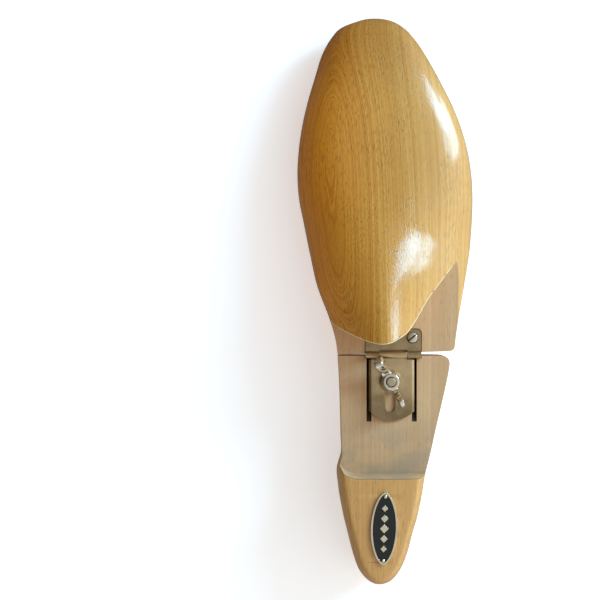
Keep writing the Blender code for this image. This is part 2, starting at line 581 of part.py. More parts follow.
# ---- the shoe tree --------------------------------------------------------------------------
AXIS = (0, HINGE_Y, HINGE_Z)
NUT_AXIS = (STUD_X, STUD_Y, NUT_BASE_Z)

for old in list(bpy.data.objects):
    bpy.data.objects.remove(old, do_unlink=True)

fold_axis = axis_point("fold_axis", AXIS)
length_axis = axis_point("length_axis", (STUD_X, STUD_Y, SHELF_Z))
nut_axis = axis_point("nut_axis", NUT_AXIS)

forepart()
hinge_leaf()
leaf_screw("leaf_screw_medial", -SCREW_X, math.radians(70))
leaf_screw("leaf_screw_lateral", SCREW_X, math.radians(40))
hinge_pin()
adjuster_plate(fold_axis)
heel_block(length_axis)
clamp_stud(length_axis)
badge(length_axis)
clamp_washer(nut_axis)
wing_nut(nut_axis)
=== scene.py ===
"""Looks for the hinged shoe tree: lacquered and raw beech, satin nickel fittings, a chromed wing
nut and an enamelled badge, seen from above on a pale floor.

Shapes are drawn in millimetres from the joint point, straight below the middle of the hinge, as
in the CAD, and to_frame() puts them in the frame, in metres.
"""
import json
import math

import bmesh
import bpy
import numpy as np
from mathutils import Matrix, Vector


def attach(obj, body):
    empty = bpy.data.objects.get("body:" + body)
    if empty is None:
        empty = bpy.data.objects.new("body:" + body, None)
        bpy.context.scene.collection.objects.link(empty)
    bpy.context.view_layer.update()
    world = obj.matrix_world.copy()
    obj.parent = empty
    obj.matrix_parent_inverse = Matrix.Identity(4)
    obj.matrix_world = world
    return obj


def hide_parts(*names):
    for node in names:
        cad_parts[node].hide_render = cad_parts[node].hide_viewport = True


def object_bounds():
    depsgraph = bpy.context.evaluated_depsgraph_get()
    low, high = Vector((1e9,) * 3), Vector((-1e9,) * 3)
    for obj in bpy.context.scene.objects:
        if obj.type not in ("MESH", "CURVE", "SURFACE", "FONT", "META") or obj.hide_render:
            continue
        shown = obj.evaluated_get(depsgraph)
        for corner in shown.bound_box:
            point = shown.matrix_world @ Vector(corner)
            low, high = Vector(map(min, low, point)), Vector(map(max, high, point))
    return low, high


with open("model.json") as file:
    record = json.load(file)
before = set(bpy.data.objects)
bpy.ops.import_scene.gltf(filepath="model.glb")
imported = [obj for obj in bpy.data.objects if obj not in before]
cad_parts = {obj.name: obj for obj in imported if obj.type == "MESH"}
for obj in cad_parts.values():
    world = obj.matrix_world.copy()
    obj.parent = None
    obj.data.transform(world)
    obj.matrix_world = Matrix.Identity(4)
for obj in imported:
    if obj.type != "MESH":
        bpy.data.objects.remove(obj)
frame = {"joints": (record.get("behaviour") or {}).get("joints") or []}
lo0, hi0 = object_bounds()

# ---- driving dimensions, millimetres --------------------------------------------------------
SHELF_Z = 34.0
HEEL_TOP_Z = 44.0
HEEL_SHOULDER_Z = 35.0
TOE_Y = 169.9
TOE_TIP_X = -8.6
TOE_TIP_Z = 14.0
TONGUE_Z = 62.0
HEEL_END_Y = -111.4
HEEL_FRONT_Y = 0.9
HINGE_Y = 1.25
HINGE_Z = SHELF_Z + 1.2
SHEET = 1.2
GAP = 0.3
BARREL_R = 1.75
PIN_R = 0.75
LEAF_HALF_WIDTH = 13.6
LEAF_FRONT_Y = 13.8
KNUCKLE_HALF_WIDTH = 6.5
SCREW_X = 9.3
SCREW_Y = 9.8
SCREW_HEAD_R = 2.6
SCREW_LENGTH = 14.0
SCREW_HOLE_R = 1.6
PLATE_X = -0.8
PLATE_HALF_WIDTH = 11.35
PLATE_END_Y = -30.7
PLATE_SIDE_END_Y = -26.0
PLATE_Z = SHELF_Z + GAP
SLOT_HALF_WIDTH = 2.5
SLOT_END_Y = -26.8
STUD_X = -1.5
STUD_Y = -11.6
STUD_R = 2.2
STUD_DEPTH = 19.0                     # below the shelf
STUD_HOLE_R = 3.1
WASHER_R = 5.3
WASHER_H = 1.0
NUT_BASE_Z = PLATE_Z + SHEET + GAP + WASHER_H + GAP
NUT_BODY_H = 6.5
NUT_H = 13.0
NUT_TURN = math.radians(114.0)
BADGE_POINT = (-5.0, -82.7)
BADGE_HALF_LENGTH = 17.6
BADGE_HALF_WIDTH = 6.5
BADGE_Z = HEEL_TOP_Z + GAP
BADGE_TURN = math.radians(2.0)
BADGE_PIN_REACH = 15.6
LOZENGES = 5
LOZENGE_PITCH = 4.9
LOZENGE_SIZE = 2.2                    # half length of the middle one

MATERIAL_SLOTS = 4                    # on every mesh, so that cuts keep the index of their tool

HINGE_JOINT = next(j for j in frame["joints"] if j["name"] == "fold")
JOINT_POINT = Vector(HINGE_JOINT["pos_m"]) - Vector((0, HINGE_Y, HINGE_Z)) * 0.001

# ---- shape of the forepart ------------------------------------------------------------------
# (y, value) pairs, but plan points for the tongue. TOP_LINE from y = 120 back and DOME_LATERAL
# were fitted, with the windows' places, to the highlights: they are no measured heights.
LATERAL_SIDE = [(169.9, -8.6), (168.4, 0.3), (164.1, 7.1), (156.9, 13.2), (147.1, 19.3),
                (135.6, 25.5), (122.7, 31.7), (111.1, 35.9), (98.9, 38.9), (78.5, 40.8),
                (57.2, 39.5), (34.7, 35.1), (11.1, 30.9), (0.5, 29.8)]
MEDIAL_SIDE = [(169.9, -8.6), (168.1, -17.6), (164.7, -25.6), (159.3, -30.5), (150.2, -35.3),
               (140.4, -38.3), (127.6, -42.1), (117.3, -44.5), (103.1, -46.6), (90.9, -47.2),
               (78.5, -46.3), (66.3, -43.9), (51.0, -40.9), (34.5, -37.2), (18.4, -31.2),
               (8.8, -28.4), (0.5, -27.2)]
TOP_LINE = [(169.9, TOE_TIP_Z), (167, 20.5), (161, 25.3), (151, 29.2), (141, 31.6), (120, 34.8),
            (100, 37.4), (80, 40.9), (65, 45.5), (50, 50.7), (35, 54.9), (15, 59.5), (0, 63.1)]
DOME_LATERAL = [(169.9, 2.9), (140, 3.45), (110, 3.7), (80, 2.8), (62, 1.8), (50, 1.48), (40, 1.32),
                (28, 1.12), (0, 1.12)]
DOME_MEDIAL = [(169.9, 2.5), (130, 2.8), (90, 2.8), (60, 2.3), (40, 1.9), (20, 1.7), (0, 1.6)]
CROWN_SOFTNESS = 0.1                 # how far the dome's crest is rounded, as a share of its width
SOLE_LINE = [(169.9, TOE_TIP_Z), (168, 10.5), (161, 7.4), (151, 5), (130, 2), (110, 0.1),
             (95, -0.6), (65, -0.6), (52, 0.6), (36, 4), (18, 8.5), (0, 12)]
GIRTH_LINE = [(169.9, TOE_TIP_Z), (161, 14.2), (140, 13.5), (100, 13), (75, 14), (60, 17.5), (50, 23.5),
              (42, 28), (33, 31), (20, 33.5), (0, 35)]
CROWN_LINE = [(169.9, TOE_TIP_X), (140, -9), (90, -10.5), (60, -8), (30, -5.5), (6, -4.4), (0, -4.4)]
SOLE_SQUARENESS = [(169.9, 2.1), (130, 2.5), (80, 2.8), (45, 2.6), (0, 2.9)]
FORE_CORNER_R = 2.2
JOINT_FACE = (1.35, 0.032)           # y at the medial corner, and its slant per mm of x
TONGUE_FOOT = [(47.5, 66), (31.7, 47.7), (25.3, 42.3), (20.3, 37.5), (13.8, 31.1), (9.6, 25.7), (6.1, 21.6),
               (2.5, 18.3), (-0.6, 17), (-6.3, 15.6), (-14.6, 16), (-20, 16.6), (-24.9, 17.2),
               (-32.7, 18.2), (-47.5, 23)]
TONGUE_LIP = [(51.9, 58), (36.1, 39.8), (29.9, 34.5), (24.9, 29.8), (18.8, 23.6), (14.8, 18.3), (10.9, 14),
              (6.4, 10.2), (1.5, 8.2), (-6.3, 6.6), (-16.2, 7.1), (-22.4, 7.9), (-27.9, 8.7),
              (-35.9, 9.7), (-50.5, 14.5)]

# ---- shape of the heel block: (y, value) pairs, but plan points for the step ----------------
HEEL_MEDIAL = [(0.9, -27.1), (-8.5, -26.5), (-25.4, -25.8), (-39.4, -25.4), (-49.2, -25.3), (-52.6, -26.3),
               (-56.1, -27.2), (-63.9, -26.7), (-74.7, -25.1), (-85.7, -22.5), (-95.8, -19.9),
               (-103.8, -17), (-108.4, -13.5), (-111.4, -7)]
HEEL_LATERAL = [(0.9, 28.4), (-7.0, 27.2), (-19.8, 24.5), (-33.8, 21.2), (-49.1, 17.8), (-57.0, 15.8),
                (-66.7, 14.2), (-76.7, 12.2), (-85.7, 9.6), (-94.8, 7.2), (-102.8, 4.1), (-107.3, 1.1),
                (-110.5, -2.9), (-111.4, -7)]
HEEL_CORNER_R = 4.5
STEP_FOOT = [(45.5, -54.2), (24.5, -55.6), (16.5, -56.6), (6.5, -57), (-11.5, -57), (-19.5, -56.8),
             (-23.5, -55.4), (-27, -51.8), (-31.5, -45), (-44.5, -24)]
HEEL_SOLE_LINE = [(-111.4, 3.5), (-108, 0.6), (-103, 0), (-63, 0), (-55, 1), (-39, 4.6),
                  (-20, 8.6), (1, 12)]
HEEL_BEVEL = (2.6, 2.8)


# ---- curves ---------------------------------------------------------------------------------
def spline(pairs):
    """The smooth curve through (place, value) pairs, as a function of the place."""
    place, value = (np.array(column, float) for column in zip(*sorted(pairs)))
    slope = np.gradient(value, place)

    def at(s):
        s = np.clip(s, place[0], place[-1])
        i = np.clip(np.searchsorted(place, s) - 1, 0, len(place) - 2)
        step = place[i + 1] - place[i]
        u = (s - place[i]) / step
        start = (1 + 2 * u) * (1 - u) ** 2 * value[i] + u * (1 - u) ** 2 * step * slope[i]
        end = u * u * (3 - 2 * u) * value[i + 1] + u * u * (u - 1) * step * slope[i + 1]
        return start + end

    return at


def from_end(pairs, end):
    """A spline in the square root of the distance from a rounded end, which comes out round."""
    curve = spline([(math.sqrt(abs(y - end)), value) for y, value in pairs])
    return lambda y: float(curve(math.sqrt(abs(y - end))))


def rounded_corner(y, face, radius):
    """How far a side is drawn in at y, where it turns the corner to a face across it."""
    into = max(radius - abs(face - y), 0.0)
    return radius - math.sqrt(radius ** 2 - into ** 2)


def plan_curve(points, count, guide=None):
    """count points on the smooth curve through plan points, spaced evenly along it or its guide."""
    points = np.array(points, float)
    steps = np.diff(np.array(guide or points, float), axis=0)
    run = np.concatenate([[0], np.cumsum(np.hypot(*steps.T))])
    along_x, along_y = spline(zip(run, points[:, 0])), spline(zip(run, points[:, 1]))
    return [(float(along_x(s)), float(along_y(s))) for s in np.linspace(0, run[-1], count)]


def arc(centre, radius, start, end, steps):
    """Points of an arc, with angles in degrees."""
    angles = [math.radians(start + (end - start) * i / steps) for i in range(steps + 1)]
    return [(centre[0] + radius * math.cos(a), centre[1] + radius * math.sin(a)) for a in angles]


# ---- meshes ---------------------------------------------------------------------------------
def to_frame(point):
    return Vector(point) * 0.001 + JOINT_POINT


def mesh_object(name, verts, faces, material_index=0):
    mesh = bpy.data.meshes.new(name)
    mesh.from_pydata([tuple(to_frame(v)) for v in verts], [], faces)
    for _ in range(MATERIAL_SLOTS):
        mesh.materials.append(None)
    form = bmesh.new()
    form.from_mesh(mesh)
    bmesh.ops.recalc_face_normals(form, faces=form.faces)
    for face in form.faces:
        face.material_index = material_index
    form.to_mesh(mesh)
    form.free()
    thing = bpy.data.objects.new(name, mesh)
    bpy.context.scene.collection.objects.link(thing)
    return thing


def ring_faces(rings, count, capped=True):
    faces = []
    for r in range(rings - 1):
        for i in range(count):
            j = (i + 1) % count
            faces.append((r * count + i, r * count + j, (r + 1) * count + j, (r + 1) * count + i))
    if capped:
        faces.append(tuple(range(count)))
        faces.append(tuple((rings - 1) * count + i for i in range(count)))
    return faces


def prism(name, outline, low, high, axis="Z", material_index=0):
    """A closed outline stretched along an axis: (x, y) for Z, (y, z) for X, (x, z) for Y."""
    order = {"Z": lambda a, b, c: (a, b, c), "X": lambda a, b, c: (c, a, b),
             "Y": lambda a, b, c: (a, c, b)}
    verts = [order[axis](a, b, c) for c in (low, high) for a, b in outline]
    return mesh_object(name, verts, ring_faces(2, len(outline)), material_index)


def lathe(name, profile, centre, sides=64, material_index=0):
    """A solid of revolution about a vertical line, from (radius, z) pairs; radius 0 is a point."""
    verts, faces, rows = [], [], []
    for radius, z in profile:
        if radius == 0:
            rows.append([len(verts)] * sides)
            verts.append((centre[0], centre[1], z))
            continue
        rows.append([len(verts) + i for i in range(sides)])
        for i in range(sides):
            a = 2 * math.pi * i / sides
            verts.append((centre[0] + radius * math.cos(a), centre[1] + radius * math.sin(a), z))
    for lower, upper in zip(rows, rows[1:]):
        for i in range(sides):
            j = (i + 1) % sides
            faces.append(tuple(dict.fromkeys([lower[i], lower[j], upper[j], upper[i]])))
    for row in (rows[0], rows[-1]):
        if row[0] != row[1]:
            faces.append(tuple(row))
    return mesh_object(name, verts, faces, material_index)


def rod_x(name, radius, low, high, sides=64, material_index=0):
    """A rod along the hinge's axis."""
    turns = [2 * math.pi * i / sides for i in range(sides)]
    outline = [(HINGE_Y + radius * math.cos(a), HINGE_Z + radius * math.sin(a)) for a in turns]
    return prism(name, outline, low, high, axis="X", material_index=material_index)


def settle(thing):
    """Replace a piece's mesh by what its modifiers make of it."""
    evaluated = thing.evaluated_get(bpy.context.evaluated_depsgraph_get())
    mesh = bpy.data.meshes.new_from_object(evaluated)
    thing.modifiers.clear()
    thing.data = mesh
    return thing


def carve(thing, tools, operation="DIFFERENCE"):
    """Cut a piece with each tool, or join the tools to it, and throw the tools away."""
    for tool in tools:
        cut = thing.modifiers.new("cut", "BOOLEAN")
        cut.operation = operation
        cut.solver = "EXACT"
        cut.object = tool
    settle(thing)
    for tool in tools:
        bpy.data.objects.remove(tool, do_unlink=True)
    return thing


def soften(thing, width, segments=2, angle=32):
    """Break the sharp edges by width, in millimetres."""
    bevel = thing.modifiers.new("soft_edges", "BEVEL")
    bevel.width = width * 0.001
    bevel.segments = segments
    bevel.limit_method = "ANGLE"
    bevel.angle_limit = math.radians(angle)
    bevel.harden_normals = True
    thing.data.shade_smooth()
    return thing


def shade(thing, angle=35):
    thing.data.shade_smooth()
    thing.data.set_sharp_from_angle(angle=math.radians(angle))
    return thing


def dress(thing, body, node, slot, *materials):
    """Give a piece its materials and its body, and hide the CAD part that it stands for."""
    slots = thing.data.materials
    while len(slots) < len(materials):
        slots.append(None)
    while len(slots) > len(materials):
        slots.pop()
    for index, material in enumerate(materials):
        slots[index] = material
    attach(thing, body)
    if node:
        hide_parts(node)
    return thing


# ---- materials ------------------------------------------------------------------------------
class Shader:
    """A node material under construction."""

    def __init__(self, name):
        self.material = bpy.data.materials.new(name)
        self.material.use_nodes = True
        self.tree = self.material.node_tree
        self.shader = self.tree.nodes["Principled BSDF"]
        self.point = self.add("ShaderNodeTexCoord").outputs["Object"]

    def add(self, kind, *inputs, **settings):
        node = self.tree.nodes.new(kind)
        for key, value in settings.items():
            setattr(node, key, value)
        for index, value in enumerate(inputs):
            if value is not None:
                self.put(node.inputs[index], value)
        return node

    def put(self, socket, value):
        if isinstance(value, bpy.types.NodeSocket):
            self.tree.links.new(value, socket)
        else:
            socket.default_value = value

    def math(self, operation, a, b=None, c=None):
        return self.add("ShaderNodeMath", a, b, c, operation=operation).outputs[0]

    def stretched(self, scale):
        """Object coordinates, stretched: features per millimetre along each axis."""
        per_metre = tuple(1000 * s for s in scale)
        return self.add("ShaderNodeVectorMath", self.point, per_metre, operation="MULTIPLY").outputs[0]

    def noise(self, vector, detail=3.0, roughness=0.55):
        node = self.add("ShaderNodeTexNoise")
        self.put(node.inputs["Vector"], vector)
        self.put(node.inputs["Scale"], 1.0)
        self.put(node.inputs["Detail"], detail)
        self.put(node.inputs["Roughness"], roughness)
        return node.outputs["Fac"]

    def noise_along(self, value, detail=3.0, roughness=0.55):
        node = self.add("ShaderNodeTexNoise", noise_dimensions="1D")
        self.put(node.inputs["W"], value)
        self.put(node.inputs["Scale"], 1.0)
        self.put(node.inputs["Detail"], detail)
        self.put(node.inputs["Roughness"], roughness)
        return node.outputs["Fac"]

    def spread(self, value, low, high, to_low=0.0, to_high=1.0):
        return self.add("ShaderNodeMapRange", value, low, high, to_low, to_high,
                        interpolation_type="SMOOTHSTEP").outputs[0]

    def blend(self, factor, a, b, mode="MIX"):
        node = self.add("ShaderNodeMix", data_type="RGBA", blend_type=mode)
        self.put(node.inputs[0], factor)
        self.put(node.inputs[6], a if isinstance(a, bpy.types.NodeSocket) else (*a, 1))
        self.put(node.inputs[7], b if isinstance(b, bpy.types.NodeSocket) else (*b, 1))
        return node.outputs[2]

    def bump(self, height, distance, strength=1.0):
        node = self.add("ShaderNodeBump")
        self.put(node.inputs["Strength"], strength)
        self.put(node.inputs["Distance"], distance * 0.001)
        self.put(node.inputs["Height"], height)
        return node.outputs["Normal"]

    def set(self, **values):
        for key, value in values.items():
            self.put(self.shader.inputs[key.replace("_", " ")], value)


# heart of the wood, in the frame: x and z in millimetres, its slope, and how fast the trunk tapers
FOREPART_PITH = (-30.5, 58.0, -0.30, 0.0012)
HEEL_PITH = (-62.0, 8.0, 0.01, 0.0)


def growth_radius(s, place, pith):
    """Place in the tree's growth rings, in millimetres: they taper about a heart along the piece."""
    x, y, z = place.outputs
    heart_x, heart_z, slope, taper = pith
    wander = s.noise(s.stretched((0.03, 0.008, 0.03)), detail=2)
    ahead = s.math("MAXIMUM", s.math("SUBTRACT", y, 20.0), 0.0)
    ahead = s.math("MULTIPLY", ahead, ahead)
    bowed = s.math("MULTIPLY_ADD", ahead, 0.0006, heart_x)
    across = s.math("SUBTRACT", x, s.math("MULTIPLY_ADD", wander, 3.0, bowed))
    up = s.math("SUBTRACT", z, s.math("MULTIPLY_ADD", y, slope, heart_z))
    squares = s.math("ADD", s.math("MULTIPLY", across, across), s.math("MULTIPLY", up, up))
    ragged = s.noise(s.stretched((0.5, 0.07, 0.5)), detail=2)
    radius = s.math("MULTIPLY_ADD", ragged, 0.5, s.math("SQRT", squares))
    return s.math("MULTIPLY_ADD", ahead, taper, radius)


def beech(name, pale, middle, dark, fleck, pith, contrast=1.0, fleck_share=0.55, fleck_depth=0.42):
    """Beech: growth rings about the heart, lengthwise fibre and short dark ray flecks."""
    s = Shader(name)
    place = s.add("ShaderNodeSeparateXYZ", s.stretched((1, 1, 1)))
    radius = growth_radius(s, place, pith)
    broad = s.noise_along(s.math("MULTIPLY", radius, 0.16), detail=1)
    rings = s.noise_along(s.math("MULTIPLY", radius, 0.6), detail=2, roughness=0.6)
    fine = s.noise_along(s.math("MULTIPLY", radius, 2.4), detail=1, roughness=0.5)
    fibre = s.noise(s.stretched((2.2, 0.05, 2.2)), detail=3, roughness=0.65)
    cloud = s.noise(s.stretched((0.03, 0.012, 0.03)), detail=3)

    tone = s.math("MULTIPLY", broad, 0.5)
    for layer, share in ((rings, 0.9), (fine, 0.55), (fibre, 0.55), (cloud, 0.5)):
        tone = s.math("MULTIPLY_ADD", layer, share, tone)
    half = 0.62 / contrast
    tone = s.spread(tone, 1.5 - half, 1.5 + half)
    color = s.blend(s.spread(tone, 0.0, 0.55), dark, middle)
    color = s.blend(s.spread(tone, 0.45, 1.0), color, pale)

    dashes = s.noise(s.stretched((1.8, 0.24, 1.8)), detail=1.5, roughness=0.5)
    crowd = s.spread(s.noise(s.stretched((0.07, 0.02, 0.07)), detail=2), 0.35, 0.6, 0.35, 1.0)
    dashes = s.math("MULTIPLY", s.spread(dashes, fleck_share, fleck_share + 0.08), crowd)
    color = s.blend(s.math("MULTIPLY", dashes, fleck_depth), color, fleck)
    s.put(s.shader.inputs["Base Color"], color)
    s.marks = {"dashes": dashes, "fibre": fibre, "fine": fine, "color": color, "place": place}
    return s


def lacquered_beech():
    """Thick amber lacquer, with painted shade on the inner side and toe and painted sheen on the outer."""
    s = beech("lacquered_beech", (0.70, 0.365, 0.080), (0.62, 0.290, 0.042), (0.52, 0.205, 0.018),
              (0.20, 0.072, 0.006), FOREPART_PITH, contrast=1.25)
    x = s.marks["place"].outputs[0]
    # painted shade: darker and more saturated towards the inner (medial) side
    painted_shade_inner = s.math("MULTIPLY", s.spread(x, 8.0, -42.0), 0.8)
    color = s.blend(painted_shade_inner, s.marks["color"], (1.16, 0.78, 0.02), "MULTIPLY")
    # painted sheen: paler towards the outer (lateral) side
    painted_sheen_outer = s.math("MULTIPLY", s.spread(x, -8.0, 40.0), 0.22)
    color = s.blend(painted_sheen_outer, color, (0.70, 0.50, 0.27))
    # painted shade: darker towards the toe
    painted_shade_toe = s.math("MULTIPLY", s.spread(s.marks["place"].outputs[1], 92.0, 134.0), 0.7)
    color = s.blend(painted_shade_toe, color, (0.66, 0.56, 0.42), "MULTIPLY")
    s.put(s.shader.inputs["Base Color"], color)
    pores = s.noise(s.stretched((3.2, 0.8, 3.2)), detail=2)
    swell = s.noise(s.stretched((0.09, 0.03, 0.09)), detail=2)
    height = s.math("ADD", s.math("MULTIPLY", pores, 0.6), s.math("MULTIPLY", s.marks["dashes"], -0.6))
    height = s.math("ADD", height, s.math("MULTIPLY", s.marks["fibre"], 0.5))
    height = s.math("ADD", height, s.math("MULTIPLY", swell, 3.0))
    normal = s.bump(height, 0.036)
    s.set(Normal=normal, Coat_Normal=normal, Coat_Weight=1.0, Coat_Roughness=0.08, Coat_IOR=1.5)
    s.put(s.shader.inputs["Roughness"], s.spread(s.marks["fibre"], 0.3, 0.7, 0.45, 0.6))
    s.put(s.shader.inputs["Specular IOR Level"], 0.15)
    return s.material


def satin_beech():
    """The heel's thin, colourless satin finish."""
    s = beech("satin_beech", (0.74, 0.40, 0.125), (0.64, 0.32, 0.080), (0.54, 0.24, 0.052),
              (0.34, 0.145, 0.035), HEEL_PITH, contrast=0.7, fleck_depth=0.4)
    normal = s.bump(s.math("SUBTRACT", s.marks["fibre"], s.marks["dashes"]), 0.03)
    s.set(Normal=normal, Coat_Normal=normal, Coat_Weight=0.6, Coat_Roughness=0.28, Coat_IOR=1.5)
    s.put(s.shader.inputs["Roughness"], s.spread(s.marks["fibre"], 0.3, 0.7, 0.45, 0.6))
    return s.material


def rim_beech():
    """Sanded, thinly lacquered rim of the tongue, cut across the fibres; paler, partly as painted highlight.
    """
    # pale colours: partly the sanded wood, partly a painted highlight along the tongue's edge
    s = beech("rim_beech", (0.88, 0.72, 0.43), (0.82, 0.64, 0.34), (0.74, 0.54, 0.26),
              (0.55, 0.36, 0.15), FOREPART_PITH, contrast=0.8)
    normal = s.bump(s.marks["fine"], 0.03)
    s.set(Normal=normal, Coat_Weight=0.5, Coat_Roughness=0.25, Roughness=0.5)
    return s.material


def raw_beech():
    """Unlacquered, machined beech: pinkish, dull, with cutter marks, greyer in blotches towards the heel."""
    s = beech("raw_beech", (0.70, 0.435, 0.225), (0.61, 0.37, 0.185), (0.53, 0.31, 0.145),
              (0.38, 0.20, 0.08), HEEL_PITH, contrast=0.7, fleck_share=0.59, fleck_depth=0.35)
    marks = s.noise(s.stretched((0.05, 1.1, 0.05)), detail=1)
    # greyer in blotches towards the heel
    blotches = s.noise(s.stretched((0.05, 0.07, 0.05)), detail=4, roughness=0.6)
    behind = s.spread(s.marks["place"].outputs[1], -52.0, -86.0)
    grey = s.math("MULTIPLY", s.math("MULTIPLY", s.spread(blotches, 0.38, 0.62), behind), 0.55)
    color = s.blend(grey, s.marks["color"], (0.33, 0.27, 0.19))
    s.put(s.shader.inputs["Base Color"], color)
    height = s.math("ADD", s.marks["fibre"], s.math("MULTIPLY", marks, 0.35))
    height = s.math("SUBTRACT", height, s.math("MULTIPLY", s.marks["dashes"], 0.5))
    s.set(Normal=s.bump(height, 0.05), Roughness=0.72)
    s.put(s.shader.inputs["Specular IOR Level"], 0.3)
    return s.material


def darkened_beech(name, pale, dark):
    """Dull beech in dark browns."""
    middle = tuple((a + b) / 2 for a, b in zip(pale, dark))
    s = beech(name, pale, middle, dark, dark, HEEL_PITH)
    s.set(Normal=s.bump(s.marks["fibre"], 0.05), Roughness=0.85)
    return s.material


def metal(name, color, tarnish, rough, scratch=0.3, depth=0.012, fade=None):
    """Plated metal with tarnish, fine grain and hairline scratches; fade darkens it along Y: painted sheen
    to shade.
    """
    s = Shader(name)
    stain = s.noise(s.stretched((0.16, 0.16, 0.16)), detail=4, roughness=0.6)
    speck = s.noise(s.stretched((0.6, 0.6, 0.6)), detail=3, roughness=0.6)
    lines = s.noise(s.stretched((0.25, 5.0, 0.25)), detail=2)
    stained = s.math("MULTIPLY", s.spread(stain, 0.35, 0.7), 0.75)
    mix = s.math("ADD", stained, s.math("MULTIPLY", speck, 0.25))
    # painted sheen and shade: darker along Y towards the second place of fade
    if fade:
        place = s.add("ShaderNodeSeparateXYZ", s.stretched((1, 1, 1)))
        mix = s.math("MULTIPLY_ADD", s.spread(place.outputs[1], *fade), 0.7, s.math("MULTIPLY", mix, 0.4))
    s.put(s.shader.inputs["Base Color"], s.blend(mix, color, tarnish))
    worn = s.math("ADD", stain, speck)
    s.put(s.shader.inputs["Roughness"], s.spread(worn, 0.6, 1.4, rough * 0.8, rough * 1.35))
    height = s.math("ADD", speck, s.math("MULTIPLY", s.spread(lines, 0.62, 0.7), scratch))
    s.set(Normal=s.bump(height, depth), Metallic=1.0)
    return s.material


def enamel():
    s = Shader("black_enamel")
    speck = s.noise(s.stretched((0.9, 0.9, 0.9)), detail=3)
    s.put(s.shader.inputs["Base Color"], s.blend(speck, (0.010, 0.009, 0.008), (0.022, 0.019, 0.016)))
    s.put(s.shader.inputs["Specular IOR Level"], 0.25)
    s.put(s.shader.inputs["Roughness"], s.spread(speck, 0.3, 0.7, 0.4, 0.55))
    s.set(Normal=s.bump(speck, 0.01), Coat_Weight=0.1, Coat_Roughness=0.15)
    return s.material


LACQUER = lacquered_beech()
# darker brown along the heel step's rounded top edge
DARK_EDGE = darkened_beech("dark_edge_beech", (0.40, 0.245, 0.10), (0.20, 0.11, 0.04))
# near-black painted shade inside the saw kerfs that hold the plate's flanges
KERF_SHADE = darkened_beech("kerf_painted_shade", (0.08, 0.045, 0.02), (0.02, 0.010, 0.005))
SATIN = satin_beech()
RAW = raw_beech()
RIM = rim_beech()
# brown tint: partly painted reflection of the brown wood and room around it; the tarnish is the metal's own
NICKEL = metal("satin_nickel", (0.42, 0.305, 0.165), (0.28, 0.20, 0.10), 0.33)
BRIGHT = metal("bright_nickel", (0.62, 0.56, 0.46), (0.45, 0.39, 0.29), 0.2)
# brown tint partly painted reflection; fade paints sheen towards the hinge and shade towards the heel
PLATE_NICKEL = metal("nickel_painted_sheen_shade", (0.60, 0.44, 0.24), (0.24, 0.17, 0.085), 0.33,
                     fade=(-38.0, -57.0))
WORN_STEEL = metal("worn_stud_steel", (0.56, 0.44, 0.28), (0.42, 0.32, 0.19), 0.42)
# near-black painted shade inside the screw slots
SLOT_SHADE = metal("slot_painted_shade", (0.05, 0.04, 0.03), (0.025, 0.02, 0.015), 0.6)
# tan tint: painted reflection of the brown surroundings in the chrome
CHROME = metal("chrome_painted_reflection", (0.76, 0.72, 0.63), (0.50, 0.44, 0.33), 0.10, scratch=0.15, depth=0.006)
BADGE_METAL = metal("badge_metal", (0.80, 0.72, 0.54), (0.66, 0.57, 0.38), 0.26)
ENAMEL = enamel()


# ---- wooden pieces --------------------------------------------------------------------------
def dome(across, bend):
    """Height of the dome, as a share of its crest's, at a share of the way across to its edge."""
    eased = math.sqrt(across ** 2 * (1 - CROWN_SOFTNESS ** 2) + CROWN_SOFTNESS ** 2)
    return (max(1 - eased ** bend, 0.0) / (1 - CROWN_SOFTNESS ** bend)) ** (1 / bend)


def forepart_ring(y, side, around):
    """One cross-section of the last: an upper dome over a squarer lower half."""
    lateral = side["lateral"](y) - rounded_corner(y, JOINT_FACE[0], FORE_CORNER_R)
    medial = side["medial"](y)
    top, sole, girth = side["top"](y), side["sole"](y), side["girth"](y)
    crown, square = side["crown"](y), side["square"](y)
    ring = []
    for i in range(around):
        a = 2 * math.pi * i / around
        c, s = math.cos(a), math.sin(a)
        bend = side["dome_lateral" if c > 0 else "dome_medial"](y) if s > 0 else square
        across = abs(c) ** (2 / bend)
        up = dome(across, bend) if s > 0 else abs(s) ** (2 / bend)
        x = crown + across * ((lateral - crown) if c > 0 else (medial - crown))
        z = girth + up * ((top - girth) if s > 0 else (sole - girth))
        ring.append((x, y, max(z, 0.0)))
    return ring


